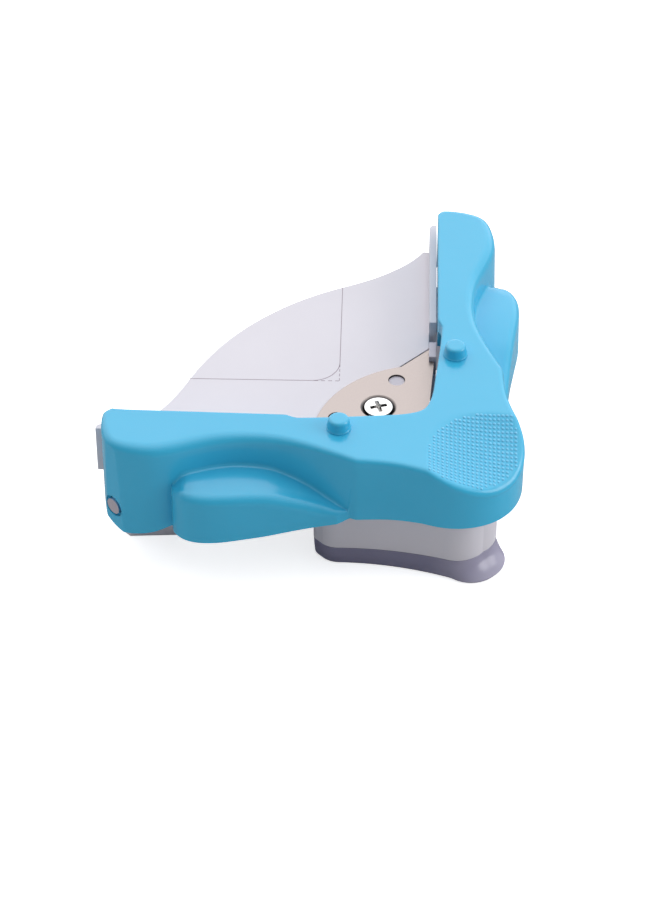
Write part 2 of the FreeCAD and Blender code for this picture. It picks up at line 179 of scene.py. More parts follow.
def outlineAt(draft):
    end, inner = lever["end"], lever["inner"]
    shift = 0.5 * draft
    kink = armSpot(-3.5, 28.8 + 0.9 * draft)
    counts = lever["counts"]
    r = lever["cornerRound"]
    start = [armSpot(end - r + r * math.sin(math.pi / 14 * k), inner + r - r * math.cos(math.pi / 14 * k))
             for k in range(8)]
    rest = 21.6 - inner - r
    start += [armSpot(end, inner + r + rest * k / (counts[0] - 7)) for k in range(1, counts[0] - 7)]
    outer = splineThrough([armSpot(end, 21.6), armSpot(38.6 + shift / 2, 26.0 + shift / 2),
                           armSpot(35, 27.5 + shift), armSpot(31, 27.8 + shift),
                           armSpot(26.5, 26.6 + shift), armSpot(21, 24.7 + shift),
                           armSpot(16, 23.9 + shift), armSpot(10, 24.1 + shift),
                           armSpot(4, 25.7 + shift), kink], counts[1:10])[:-1]
    pad = splineThrough([kink] + [(x + dx * draft, y + dy * draft) for (x, y), (dx, dy) in lever["pad"]],
                        counts[10:] + [1])[:-1]
    pad[-1] = np.array([0.0, pad[-1][1]])
    line = np.array([tuple(p) for p in start + outer + pad], float)
    kinkAt = sum(counts[:10])
    for done in range(lever["easePasses"]):  # eases the arm's end and the crease at the kink
        softer = line.copy()
        softer[1:-1] = (line[:-2] + 2 * line[1:-1] + line[2:]) / 4
        near = np.abs(np.arange(len(line)) - counts[0]) < 9
        if done < lever["kinkPasses"]:
            near |= np.abs(np.arange(len(line)) - kinkAt) < 3
        line[near] = softer[near]
    return line


def dishHeight(x, y):
    tilt = math.atan(lever["dishFall"])
    radius = lever["dishRadius"]
    centreY = lever["dishStart"] - radius * math.sin(tilt)
    centreZ = leverTop + radius * math.cos(tilt)
    deep = math.sqrt(max(radius ** 2 - x * x, 0.0))
    return centreZ + ((y - centreY) * math.sin(tilt) - deep) / math.cos(tilt)


def topHeight(x, y):
    low, soft = dishHeight(x, y) - lever["dishDrop"], lever["dishSoft"]
    high = leverTop + lever["tilt"] * (y - lever["level"])
    gap = (high - low) / soft
    if gap > 30:
        return low
    if gap < -30:
        return high
    return high - soft * math.log(1.0 + math.exp(gap))


def innerEdge():
    notch = splineThrough(lever["notch"], [12, 14, 14, 14, 8, 1])[:-1]
    inner = lever["inner"]
    step = splineThrough([armSpot(9.5, inner), armSpot(8.7, inner + 0.1), armSpot(7.8, inner + 0.5),
                          lever["notch"][0]], [6, 6, 6])[:-1]
    start = armSpot(lever["end"] - lever["cornerRound"], inner)
    return np.array([start] + [tuple(p) for p in step] + [tuple(p) for p in notch])


def along(line, distances):
    run = np.concatenate([[0.0], np.cumsum(np.linalg.norm(np.diff(line, axis=0), axis=1))])
    scale = run[-1] / lever["innerRun"][-1]
    return np.stack([np.interp(distances * scale, run, line[:, k]) for k in (0, 1)], axis=1)


def eased(share):
    share = min(max(share, 0.0), 1.0)
    return share * share * (3 - 2 * share)


def smoothTable(table, at):
    xs, ys = zip(*table)
    return float(np.mean(np.interp(at + np.linspace(-1.4, 1.4, 9), xs, ys)))  # softens the bends


def leverSkin():
    top, foot = outlineAt(0.0), outlineAt(1.0)
    count = len(top)
    marks = np.concatenate([[0], np.cumsum(lever["counts"])])
    index = np.arange(count)
    inner = along(innerEdge(), np.interp(index, marks, lever["innerRun"]))
    radius = np.interp(index, marks, lever["round"])
    tangent = np.gradient(top, axis=0)
    tangent[-1] = (-1.0, 0.0)
    tangent /= np.linalg.norm(tangent, axis=1)[:, None]
    normal = np.stack([-tangent[:, 1], tangent[:, 0]], axis=1)  # towards the inside
    mean = (inner - top)
    flip = (normal * mean).sum(axis=1) < 0
    flip[:4] = flip[6]
    normal[flip] *= -1
    normal[-1] = (0.0, 1.0)
    wingLine = np.array(splineThrough(wing["edge"], [30] + [20] * 7))
    order = np.argsort(wingLine[:, 0])
    outward = np.array([1.0, -1.0]) / root2
    rows = []
    for i in range(count):
        place = (top[i, 0] + top[i, 1]) / root2
        tip, base, edge, inn, r = top[i], foot[i], inner[i], normal[i], float(radius[i])
        if i == 0:
            inn = outward
        r = min(r, 0.45 * float(np.linalg.norm(edge - tip)) + 0.05)

        def wall(z):
            return tip + (base - tip) * (leverTop - z) / (leverTop - lever["rim"])

        rim = smoothTable(wing["bottom"], place)
        if i > marks[10] - 8:
            rim = float(np.interp(i, [marks[10] - 8, marks[10], marks[11], marks[12]],
                                  [rim, lever["kinkRim"], lever["kinkRim"] + 0.6, lever["padRim"]]))
        if place > 28.5 and tip[1] > lever["heelStart"]:
            rise = min(tip[1] - lever["heelStart"], lever["heelRound"] - 0.01)
            rim += lever["heelRound"] - math.sqrt(lever["heelRound"] ** 2 - rise * rise)
        # outer column, from the top down
        column = []
        for k in range(8):
            turn = math.pi / 2 * (1 - k / 7)
            spot = tip + inn * r * (1 - math.cos(turn))
            column.append((spot[0], spot[1], topHeight(*spot) - r * (1 - math.sin(turn))))
        startZ = column[-1][2]
        plain = [startZ + (rim - startZ) * k / 30 for k in range(1, 31)]
        plainPts = [(*wall(z), z) for z in plain]
        shelf = smoothTable(wing["top"], place)
        reach = float(np.interp(place, wingLine[order, 0], wingLine[order, 1], left=0.0, right=0.0))
        foothold = (tip[0] - tip[1]) / root2 + 0.5 * (leverTop - shelf) / (leverTop - lever["rim"])
        reach = (reach - foothold) * eased((place - wing["fade"][1]) / (wing["fade"][0] - wing["fade"][1]))
        if i > marks[10] + 4:
            reach = 0.0
        if reach > 0.02:
            bend = min(wing["round"], 0.75 * reach, 0.45 * (shelf - rim))
            root = min(wing["root"], 0.3 * reach)
            winged = []
            for k in range(1, 9):
                z = startZ + (shelf + root - startZ) * k / 8
                winged.append((*wall(z), z))
            foothold2 = wall(shelf)
            for k in range(1, 4):
                turn = math.pi / 2 * k / 3
                spot = foothold2 + outward * root * (1 - math.cos(turn))
                winged.append((*spot, shelf + root * (1 - math.sin(turn))))
            flat = max(reach - bend - root, 0.0)
            for k in range(1, 5):
                spot = foothold2 + outward * (root + flat * k / 4)
                winged.append((*spot, shelf - wing["drop"] * (k / 4) ** 1.5 * min(1.0, flat / 3)))
            drop = wing["drop"] * min(1.0, flat / 3)
            for k in range(1, 9):
                turn = math.pi / 2 * k / 8
                spot = foothold2 + outward * (root + flat + bend * math.sin(turn))
                winged.append((*spot, shelf - drop - bend * (1 - math.cos(turn))))
            edgeSpot = foothold2 + outward * (root + flat + bend)
            lowZ = shelf - drop - bend
            for k in range(1, 8):
                z = lowZ + (rim - lowZ) * k / 7
                spot = edgeSpot + outward * 0.02 * (lowZ - z)
                winged.append((*spot, z))
            share = eased(reach / 0.5)
            body = [tuple(np.array(p) * (1 - share) + np.array(w) * share)
                    for p, w in zip(plainPts, winged)]
            under = edgeSpot - outward * 1.5
            insideA = (*under, rim)
            insideB = (*under, shelf - 1.5)
            insideC = (*(wall(shelf) + inn * lever["wall"]), shelf - 1.5)
        else:
            body = plainPts
            insideA = (*(wall(rim) + inn * lever["wall"]), rim)
            midZ = rim + 0.4 * (24.0 - rim) if rim < 15.5 else rim + 2
            insideB = (*(wall(midZ) + inn * lever["wall"]), midZ)
            insideC = (*(wall(midZ + 1) + inn * lever["wall"]), midZ + 1)
        column += body
        # inner lip, from its bottom up
        nearNose = np.interp(index[i], [marks[8] + 5, marks[8] + 9], [0.0, 1.0])
        lipZ = lever["lip"] + (lever["noseLip"] - lever["lip"]) * nearNose
        if i < 7:
            lipZ = min(lipZ, column[-1][2])
        if i == 0:
            lip = [tuple(p) for p in column[::-1]]
        else:
            soft = lever["innerRound"]
            toward = tip - edge
            size = float(np.linalg.norm(toward))
            toward = toward / size
            soft = min(soft, 0.4 * size)
            lip = [(edge[0], edge[1], lipZ + (topHeight(*edge) - soft - lipZ) * k / 32) for k in range(33)]
            for k in range(1, 6):
                turn = math.pi / 2 * k / 5
                spot = edge + toward * soft * (1 - math.cos(turn))
                lip.append((*spot, topHeight(*spot) - soft * (1 - math.sin(turn))))
        a, b = np.array(lip[-1][:2]), np.array(column[0][:2])
        cells = lever["topColumns"]
        across = []
        for k in range(1, cells):
            spot = a + (b - a) * k / cells
            across.append((spot[0], spot[1], topHeight(*spot)))
        roofOut = tip + inn * (lever["wall"] + 0.1)
        roofZ = min(lever["roof"], topHeight(*roofOut) - lever["padWall"])
        insideD = (*roofOut, roofZ)
        if i == 0:
            inside = [insideA, insideB, insideC, insideD, insideC, insideB, insideA]
        else:
            back = (tip - edge) / max(float(np.linalg.norm(tip - edge)), 1e-6)
            lipIn = edge + back * min(lever["wall"] + 0.1, 0.45 * float(np.linalg.norm(tip - edge)))
            inside = [insideA, insideB, insideC, insideD, (*lipIn, lever["roof"]),
                      (*lipIn, (lever["roof"] + lipZ) / 2), (*lipIn, lipZ)]
        rows.append(lip + across + column + inside)
    return rows


def leverShape():
    half = leverSkin()
    limit = faceX
    right = [[(min(x, limit), y, z) for x, y, z in row] for row in half]
    right[-1] = [(0.0, y, z) for x, y, z in right[-1]]
    left = [[(-x, y, z) for x, y, z in row] for row in right[:-1]]
    rings = right + left[::-1]
    verts, faces = joinRings(rings, closed=True, capStart=False, capEnd=False)
    return verts, faces


knob = {"x": 14.2, "y": -14.7, "height": knobRise, "radius": 1.84, "base": 2.05, "round": 0.6,
        "stem": 2.0, "stemLow": 14.0}


def knobShape(side):
    z, r, h, soft = leverTop, knob["radius"], knob["height"], knob["round"]
    profile = [(knob["stem"] * 0.5, knob["stemLow"] + 0.1), (knob["stem"] - 0.2, knob["stemLow"]),
               (knob["stem"], knob["stemLow"] + 0.3), (knob["stem"], z - 2.5),
               (knob["base"] + 0.12, z - 0.02), (knob["base"] + 0.03, z + 0.05), (knob["base"], z + 0.15)]
    for k in range(9):
        turn = math.pi / 2 * k / 8
        profile.append((r - soft * (1 - math.cos(turn)), z + h - soft * (1 - math.sin(turn))))
    profile += [(r - 1.0, z + h), (0.3, z + h)]
    return lathe(profile, side * knob["x"], knob["y"])


boss = {"y": pinForward, "z": 13.5, "radius": 2.6, "bore": 1.66, "inner": 41.8, "ring": 2.08}


def boreTool(side):
    return joinRings([[(side * x, boss["y"] + boss["ring"] * math.cos(2 * math.pi * k / 48),
                        boss["z"] + boss["ring"] * math.sin(2 * math.pi * k / 48)) for k in range(48)]
                      for x in (42.0, faceX + 2)])


def bossShape(side):
    outer = faceX - 0.5
    profile = [(boss["bore"], boss["inner"]), (boss["radius"], boss["inner"]),
               (boss["radius"], outer - 0.3), (boss["radius"] - 0.1, outer - 0.08),
               (boss["radius"] - 0.3, outer), (boss["bore"] + 0.12, outer), (boss["bore"], outer - 0.12),
               (boss["bore"], boss["inner"])]
    rings = []
    for radius, x in profile:
        rings.append([(side * x, boss["y"] + radius * math.cos(2 * math.pi * k / 48),
                       boss["z"] + radius * math.sin(2 * math.pi * k / 48)) for k in range(48)])
    return joinRings(rings, capStart=False, capEnd=False)


def cutWith(piece, cutters, sharpAngle=30):
    for k, shape in enumerate(cutters):
        tool = makePiece("cutter" + str(k), *shape)
        cut = piece.modifiers.new("cut", "BOOLEAN")
        cut.object, cut.operation, cut.solver = tool, "DIFFERENCE", "EXACT"
        bpy.context.view_layer.update()
        graph = bpy.context.evaluated_depsgraph_get()
        mesh = bpy.data.meshes.new_from_object(piece.evaluated_get(graph))
        piece.modifiers.remove(cut)
        old = piece.data
        piece.data = mesh
        bpy.data.meshes.remove(old)
        bpy.data.objects.remove(tool)
    piece.data.set_sharp_from_angle(angle=math.radians(sharpAngle))


leverShell = makePiece("leverShell", *leverShape(), sharpAngle=40, weld=0.002)
cutWith(leverShell, [boreTool(-1), boreTool(1)], 40)
knobs = makePiece("leverKnobs", *combine(knobShape(-1), knobShape(1)))
bosses = makePiece("leverBosses", *combine(bossShape(-1), bossShape(1)), weld=0.001)
print("lever shell:", len(leverShell.data.polygons), "faces")


# --- finishes ---

def socket(tree, name, kind, out=False, value=None):
    made = tree.interface.new_socket(name=name, in_out="OUTPUT" if out else "INPUT", socket_type=kind)
    if value is not None:
        made.default_value = value
    return made


def mouldedGroup():
    tree = bpy.data.node_groups.new("mouldedFinish", "ShaderNodeTree")
    socket(tree, "Scale", "NodeSocketFloat", value=900.0)
    socket(tree, "Grain", "NodeSocketFloat", value=0.05)
    socket(tree, "Edge Radius", "NodeSocketFloat", value=0.0002)
    socket(tree, "Rough Low", "NodeSocketFloat", value=0.25)
    socket(tree, "Rough High", "NodeSocketFloat", value=0.4)
    socket(tree, "Shade", "NodeSocketFloat", True)
    socket(tree, "Edge", "NodeSocketFloat", True)
    socket(tree, "Roughness", "NodeSocketFloat", True)
    socket(tree, "Normal", "NodeSocketVector", True)
    link, new = tree.links.new, tree.nodes.new
    given, result = new("NodeGroupInput"), new("NodeGroupOutput")
    place = new("ShaderNodeTexCoord")
    broad = new("ShaderNodeTexNoise")
    broad.inputs["Scale"].default_value = 60.0
    broad.inputs["Detail"].default_value = 3.0
    fine = new("ShaderNodeTexNoise")
    fine.inputs["Detail"].default_value = 4.0
    link(place.outputs["Object"], broad.inputs["Vector"])
    link(place.outputs["Object"], fine.inputs["Vector"])
    link(given.outputs["Scale"], fine.inputs["Scale"])
    bevel = new("ShaderNodeBevel")
    bevel.samples = 6
    link(given.outputs["Edge Radius"], bevel.inputs["Radius"])
    bump = new("ShaderNodeBump")
    bump.inputs["Distance"].default_value = 0.0001
    link(given.outputs["Grain"], bump.inputs["Strength"])
    link(fine.outputs["Fac"], bump.inputs["Height"])
    link(bevel.outputs["Normal"], bump.inputs["Normal"])
    link(bump.outputs["Normal"], result.inputs["Normal"])
    # Edge: painted highlight mask, rising where the bevel normal turns away from the face normal at rounded
    # edges
    facing = new("ShaderNodeNewGeometry")
    turn = new("ShaderNodeVectorMath")
    turn.operation = "DOT_PRODUCT"
    link(bevel.outputs["Normal"], turn.inputs[0])
    link(facing.outputs["Normal"], turn.inputs[1])
    edge = new("ShaderNodeMapRange")
    edge.inputs["From Min"].default_value = 1.0
    edge.inputs["From Max"].default_value = 0.8
    link(turn.outputs["Value"], edge.inputs["Value"])
    link(edge.outputs["Result"], result.inputs["Edge"])
    rough = new("ShaderNodeMapRange")
    rough.inputs["From Min"].default_value = 0.3
    rough.inputs["From Max"].default_value = 0.7
    link(fine.outputs["Fac"], rough.inputs["Value"])
    link(given.outputs["Rough Low"], rough.inputs["To Min"])
    link(given.outputs["Rough High"], rough.inputs["To Max"])
    link(rough.outputs["Result"], result.inputs["Roughness"])
    shade = new("ShaderNodeMapRange")
    shade.inputs["From Min"].default_value = 0.25
    shade.inputs["From Max"].default_value = 0.75
    link(broad.outputs["Fac"], shade.inputs["Value"])
    link(shade.outputs["Result"], result.inputs["Shade"])
    return tree


def brushedGroup():
    tree = bpy.data.node_groups.new("brushedFinish", "ShaderNodeTree")
    socket(tree, "Direction", "NodeSocketVector", value=(40.0, 900.0, 900.0))
    socket(tree, "Depth", "NodeSocketFloat", value=0.2)
    socket(tree, "Rough Low", "NodeSocketFloat", value=0.3)
    socket(tree, "Rough High", "NodeSocketFloat", value=0.45)
    socket(tree, "Streak", "NodeSocketFloat", True)
    socket(tree, "Roughness", "NodeSocketFloat", True)
    socket(tree, "Normal", "NodeSocketVector", True)
    link, new = tree.links.new, tree.nodes.new
    given, result = new("NodeGroupInput"), new("NodeGroupOutput")
    place = new("ShaderNodeTexCoord")
    stretch = new("ShaderNodeVectorMath")
    stretch.operation = "MULTIPLY"
    link(place.outputs["Object"], stretch.inputs[0])
    link(given.outputs["Direction"], stretch.inputs[1])
    lines = new("ShaderNodeTexNoise")
    lines.inputs["Scale"].default_value = 4.0
    lines.inputs["Detail"].default_value = 5.0
    link(stretch.outputs["Vector"], lines.inputs["Vector"])
    rough = new("ShaderNodeMapRange")
    rough.inputs["From Min"].default_value = 0.3
    rough.inputs["From Max"].default_value = 0.7
    link(lines.outputs["Fac"], rough.inputs["Value"])
    link(given.outputs["Rough Low"], rough.inputs["To Min"])
    link(given.outputs["Rough High"], rough.inputs["To Max"])
    link(rough.outputs["Result"], result.inputs["Roughness"])
    link(lines.outputs["Fac"], result.inputs["Streak"])
    bump = new("ShaderNodeBump")
    bump.inputs["Distance"].default_value = 0.00005
    link(given.outputs["Depth"], bump.inputs["Strength"])
    link(lines.outputs["Fac"], bump.inputs["Height"])
    link(bump.outputs["Normal"], result.inputs["Normal"])
    return tree


moulded, brushed = mouldedGroup(), brushedGroup()


def startMaterial(name):
    material = bpy.data.materials.new(name)
    material.use_nodes = True
    return material, material.node_tree.nodes["Principled BSDF"], material.node_tree


def mix(tree, factor, low, high):
    node = tree.nodes.new("ShaderNodeMix")
    node.data_type = "RGBA"
    tree.links.new(factor, node.inputs["Factor"])
    for side, colour in ((6, low), (7, high)):
        if hasattr(colour, "is_linked"):
            tree.links.new(colour, node.inputs[side])
        else:
            node.inputs[side].default_value = (*colour, 1.0)
    return node.outputs[2]


def plastic(name, dark, light, edge, rough=(0.25, 0.4), scale=900.0, grain=0.05, edgeRadius=0.0002,
            transmission=0.0, paintedFrontLight=None):
    material, shader, tree = startMaterial(name)
    finish = tree.nodes.new("ShaderNodeGroup")
    finish.node_tree = moulded
    for key, value in (("Scale", scale), ("Grain", grain), ("Edge Radius", edgeRadius),
                       ("Rough Low", rough[0]), ("Rough High", rough[1])):
        finish.inputs[key].default_value = value
    body = mix(tree, finish.outputs["Shade"], dark, light)
    if paintedFrontLight:  # painted highlight: paler towards the front lip
        place, split = tree.nodes.new("ShaderNodeTexCoord"), tree.nodes.new("ShaderNodeSeparateXYZ")
        front = tree.nodes.new("ShaderNodeMapRange")
        front.interpolation_type = "SMOOTHSTEP"
        front.inputs["From Min"].default_value = (cornerY - 29.0) * mm
        front.inputs["From Max"].default_value = (cornerY - 37.0) * mm
        tree.links.new(place.outputs["Object"], split.inputs["Vector"])
        tree.links.new(split.outputs["Y"], front.inputs["Value"])
        body = mix(tree, front.outputs["Result"], body, paintedFrontLight)
    # painted highlight: rounded edges mix towards the lighter edge colour
    tree.links.new(mix(tree, finish.outputs["Edge"], body, edge), shader.inputs["Base Color"])
    tree.links.new(finish.outputs["Roughness"], shader.inputs["Roughness"])
    tree.links.new(finish.outputs["Normal"], shader.inputs["Normal"])
    shader.inputs["IOR"].default_value = 1.5
    shader.inputs["Transmission Weight"].default_value = transmission
    return material


def metal(name, dark, light, direction=(40.0, 900.0, 900.0), rough=(0.3, 0.45), depth=0.2, shadeBelow=None):
    material, shader, tree = startMaterial(name)
    finish = tree.nodes.new("ShaderNodeGroup")
    finish.node_tree = brushed
    for key, value in (("Direction", direction), ("Depth", depth), ("Rough Low", rough[0]),
                       ("Rough High", rough[1])):
        finish.inputs[key].default_value = value
    colour = mix(tree, finish.outputs["Streak"], dark, light)
    if shadeBelow is not None:  # painted shade: edges and countersink darker than the top
        place, split = tree.nodes.new("ShaderNodeTexCoord"), tree.nodes.new("ShaderNodeSeparateXYZ")
        sinkShadeMask = tree.nodes.new("ShaderNodeMapRange")
        sinkShadeMask.inputs["From Min"].default_value = (shadeBelow - 0.03) * mm
        sinkShadeMask.inputs["From Max"].default_value = (shadeBelow - 0.25) * mm
        tree.links.new(place.outputs["Object"], split.inputs["Vector"])
        tree.links.new(split.outputs["Z"], sinkShadeMask.inputs["Value"])
        colour = mix(tree, sinkShadeMask.outputs["Result"], colour, (0.05, 0.045, 0.045))
    tree.links.new(colour, shader.inputs["Base Color"])
    tree.links.new(finish.outputs["Roughness"], shader.inputs["Roughness"])
    tree.links.new(finish.outputs["Normal"], shader.inputs["Normal"])
    shader.inputs["Metallic"].default_value = 1.0
    return material


bluePlastic = plastic("bluePlastic", (0.036, 0.415, 0.660), (0.043, 0.435, 0.690), (0.10, 0.50, 0.75),
                      rough=(0.19, 0.25), grain=0.0, edgeRadius=0.0)
# painted highlight: the dots get a lighter blue than the lever so they read as bright spots
dotPlastic = plastic("dotPlastic", (0.11, 0.50, 0.76), (0.13, 0.53, 0.79), (0.13, 0.53, 0.79),
                     rough=(0.2, 0.26), grain=0.0, edgeRadius=0.0)
greyPlastic = plastic("greyPlastic", (0.630, 0.605, 0.655), (0.660, 0.635, 0.685), (0.71, 0.70, 0.76),
                      rough=(0.36, 0.48), scale=1500.0, grain=0.08)
milkyPlastic = plastic("milkyPlastic", (0.66, 0.62, 0.71), (0.72, 0.68, 0.77), (0.75, 0.72, 0.80),
                       rough=(0.28, 0.36), transmission=0.25)
# painted highlight: the front of the chip cover gets a paler colour
smokePlastic = plastic("smokePlastic", (0.21, 0.20, 0.30), (0.24, 0.23, 0.33), (0.40, 0.39, 0.50),
                       rough=(0.18, 0.26), grain=0.02, edgeRadius=0.00015, paintedFrontLight=(0.34, 0.32, 0.43))
holderPlastic = plastic("holderPlastic", (0.02, 0.02, 0.022), (0.03, 0.03, 0.033), (0.06, 0.06, 0.06))
printInk = plastic("printInk", (0.30, 0.24, 0.29), (0.34, 0.28, 0.33), (0.34, 0.28, 0.33),
                   rough=(0.5, 0.6), edgeRadius=0.0)
plateSteel = metal("plateSteel", (0.24, 0.207, 0.197), (0.30, 0.262, 0.245),
                   direction=(900.0, 900.0, 900.0), rough=(0.34, 0.46), depth=0.12, shadeBelow=plateTop)
zincSteel = metal("zincSteel", (0.46, 0.45, 0.44), (0.62, 0.61, 0.60), direction=(300.0, 300.0, 300.0),
                  rough=(0.14, 0.26), depth=0.05)
pinSteel = metal("pinSteel", (0.66, 0.60, 0.66), (0.80, 0.74, 0.80), direction=(40.0, 900.0, 900.0),
                 rough=(0.3, 0.45))
toolSteel = metal("toolSteel", (0.30, 0.30, 0.31), (0.42, 0.42, 0.43), direction=(900.0, 900.0, 60.0),
                  rough=(0.25, 0.4))
springSteel = metal("springSteel", (0.26, 0.26, 0.27), (0.38, 0.38, 0.39), direction=(400.0, 400.0, 900.0),
                    rough=(0.2, 0.32), depth=0.05)


def finishWith(piece, material):
    if piece.data.materials:
        for k in range(len(piece.data.materials)):
            piece.data.materials[k] = material
    else:
        piece.data.materials.append(material)


for node, material in (("base", greyPlastic), ("die_plate", plateSteel), ("die_seat", milkyPlastic),
                       ("punch_blade", toolSteel), ("punch_holder", holderPlastic),
                       ("punch_screw_left", zincSteel), ("punch_screw_right", zincSteel),
                       ("guide_post_left", pinSteel), ("guide_post_right", pinSteel),
                       ("lever_spring_left", springSteel), ("lever_spring_right", springSteel),
                       ("punch_spring", springSteel), ("stop_screw_left", zincSteel),
                       ("stop_screw_right", zincSteel), ("hinge_pin_left", pinSteel),
                       ("hinge_pin_right", pinSteel)):
    finishWith(nodes[node], material)
for piece in (leverShell, knobs, bosses):
    finishWith(piece, bluePlastic)


# --- thumb pad dots ---

dots = {"pitch": 0.74, "radius": 0.28, "height": 0.13, "margin": 1.05, "seed": 4}


def dotSpots():
    spots = []
    reach = int(24 / dots["pitch"])
    for i in range(-reach, reach + 1):
        for k in range(-reach, reach + 1):
            u, v = i * dots["pitch"], k * dots["pitch"]
            x, y = (u - v) / root2, -31.0 + (u + v) / root2
            widths = [float(np.interp(low, [p[0][1] for p in lever["pad"][5::-1]],
                                      [p[0][0] for p in lever["pad"][5::-1]]))
                      for low in (y, y - dots["margin"])]
            inPad = y - dots["margin"] > -41.4 and abs(x) < min(widths[0] - dots["margin"], widths[1])
            if inPad and topHeight(x, y) < leverTop + lever["tilt"] * (y - lever["level"]) - 0.1:
                spots.append((x, y, topHeight(x, y)))
    return spots


def dotTree(material):
    tree = bpy.data.node_groups.new("padDotTree", "GeometryNodeTree")
    socket(tree, "Geometry", "NodeSocketGeometry")
    radius = socket(tree, "Dot Radius", "NodeSocketFloat", value=0.0003)
    height = socket(tree, "Dot Height", "NodeSocketFloat", value=0.0001)
    seed = socket(tree, "Seed", "NodeSocketInt", value=1)
    socket(tree, "Geometry", "NodeSocketGeometry", True)
    link, new = tree.links.new, tree.nodes.new
    given, result = new("NodeGroupInput"), new("NodeGroupOutput")
    dome = new("GeometryNodeMeshIcoSphere")
    dome.inputs["Radius"].default_value = 1.0
    dome.inputs["Subdivisions"].default_value = 2
    points = new("GeometryNodeMeshToPoints")
    spread = new("GeometryNodeInstanceOnPoints")
    size = new("ShaderNodeCombineXYZ")
    vary = new("FunctionNodeRandomValue")
    vary.data_type = "FLOAT"
    vary.inputs[2].default_value = 0.93
    vary.inputs[3].default_value = 1.07
    scale = new("ShaderNodeVectorMath")
    scale.operation = "SCALE"
    tilt = new("FunctionNodeAlignRotationToVector")
    tilt.axis = "Z"
    stored = new("GeometryNodeInputNamedAttribute")
    stored.data_type = "FLOAT_VECTOR"
    stored.inputs["Name"].default_value = "padNormal"
    real = new("GeometryNodeRealizeInstances")
    paint = new("GeometryNodeSetMaterial")
    paint.inputs["Material"].default_value = material
    link(given.outputs["Geometry"], points.inputs["Mesh"])
    link(points.outputs["Points"], spread.inputs["Points"])
    link(dome.outputs["Mesh"], spread.inputs["Instance"])
    link(given.outputs["Dot Radius"], size.inputs["X"])
    link(given.outputs["Dot Radius"], size.inputs["Y"])
    link(given.outputs["Dot Height"], size.inputs["Z"])
    link(given.outputs["Seed"], vary.inputs["Seed"])
    link(size.outputs["Vector"], scale.inputs[0])
    link(vary.outputs[1], scale.inputs["Scale"])
    link(scale.outputs["Vector"], spread.inputs["Scale"])
    link(stored.outputs["Attribute"], tilt.inputs["Vector"])
    link(tilt.outputs["Rotation"], spread.inputs["Rotation"])
    link(spread.outputs["Instances"], real.inputs["Geometry"])
    link(real.outputs["Geometry"], paint.inputs["Geometry"])
    link(paint.outputs["Geometry"], result.inputs["Geometry"])
    return tree, {"radius": radius.identifier, "height": height.identifier, "seed": seed.identifier}


def bakeNodes(name, host, tree, values, sharpAngle=None):
    modifier = host.modifiers.new("shape", "NODES")
    modifier.node_group = tree
    for identifier, value in values.items():
        modifier[identifier] = value
    bpy.context.view_layer.update()
    graph = bpy.context.evaluated_depsgraph_get()
    mesh = bpy.data.meshes.new_from_object(host.evaluated_get(graph))
    host.modifiers.remove(modifier)
    bpy.data.objects.remove(host)
    mesh.name = name
    mesh.shade_smooth()
    if sharpAngle:
        mesh.set_sharp_from_angle(angle=math.radians(sharpAngle))
    piece = bpy.data.objects.new(name, mesh)
    bpy.context.scene.collection.objects.link(piece)
    return piece


spots = dotSpots()
dotMesh = bpy.data.meshes.new("dotSpots")
dotMesh.from_pydata(inFrame(spots), [], [])
dotNormals = dotMesh.attributes.new("padNormal", "FLOAT_VECTOR", "POINT")
for k, (x, y, z) in enumerate(spots):
    dx = (topHeight(x + 0.05, y) - topHeight(x - 0.05, y)) / 0.1
    dy = (topHeight(x, y + 0.05) - topHeight(x, y - 0.05)) / 0.1
    dotNormals.data[k].vector = Vector((-dx, -dy, 1.0)).normalized()
dotHost = bpy.data.objects.new("dotHost", dotMesh)
bpy.context.scene.collection.objects.link(dotHost)
tree, keys = dotTree(dotPlastic)
padDots = bakeNodes("padDots", dotHost, tree, {keys["radius"]: dots["radius"] * mm,
                                               keys["height"]: dots["height"] * mm,
                                               keys["seed"]: dots["seed"]})
print("pad dots:", len(spots))


# --- guide lines printed on the tray ---

guide = {"length": 26.6, "corner": 5.0, "width": 0.13, "thick": 0.03, "dash": 0.7, "pitch": 1.25}


def ribbonTree(material):
    tree = bpy.data.node_groups.new("printedLineTree", "GeometryNodeTree")
    socket(tree, "Geometry", "NodeSocketGeometry")
    width = socket(tree, "Width", "NodeSocketFloat", value=0.0002)
    thick = socket(tree, "Thickness", "NodeSocketFloat", value=0.00002)
    socket(tree, "Geometry", "NodeSocketGeometry", True)
    link, new = tree.links.new, tree.nodes.new
    given, result = new("NodeGroupInput"), new("NodeGroupOutput")
    path = new("GeometryNodeMeshToCurve")
    profile = new("GeometryNodeCurvePrimitiveQuadrilateral")
    sweep = new("GeometryNodeCurveToMesh")
    sweep.inputs["Fill Caps"].default_value = True
    upright = new("GeometryNodeSetCurveNormal")
    upright.mode = "Z_UP"
    real = new("GeometryNodeRealizeInstances")
    paint = new("GeometryNodeSetMaterial")
    paint.inputs["Material"].default_value = material
    link(given.outputs["Geometry"], path.inputs["Mesh"])
    link(path.outputs["Curve"], upright.inputs["Curve"])
    link(given.outputs["Width"], profile.inputs["Width"])
    link(given.outputs["Thickness"], profile.inputs["Height"])
    link(upright.outputs["Curve"], sweep.inputs["Curve"])
    link(profile.outputs["Curve"], sweep.inputs["Profile Curve"])
    link(sweep.outputs["Mesh"], real.inputs["Geometry"])
    link(real.outputs["Geometry"], paint.inputs["Geometry"])
    link(paint.outputs["Geometry"], result.inputs["Geometry"])
    return tree, width.identifier, thick.identifier


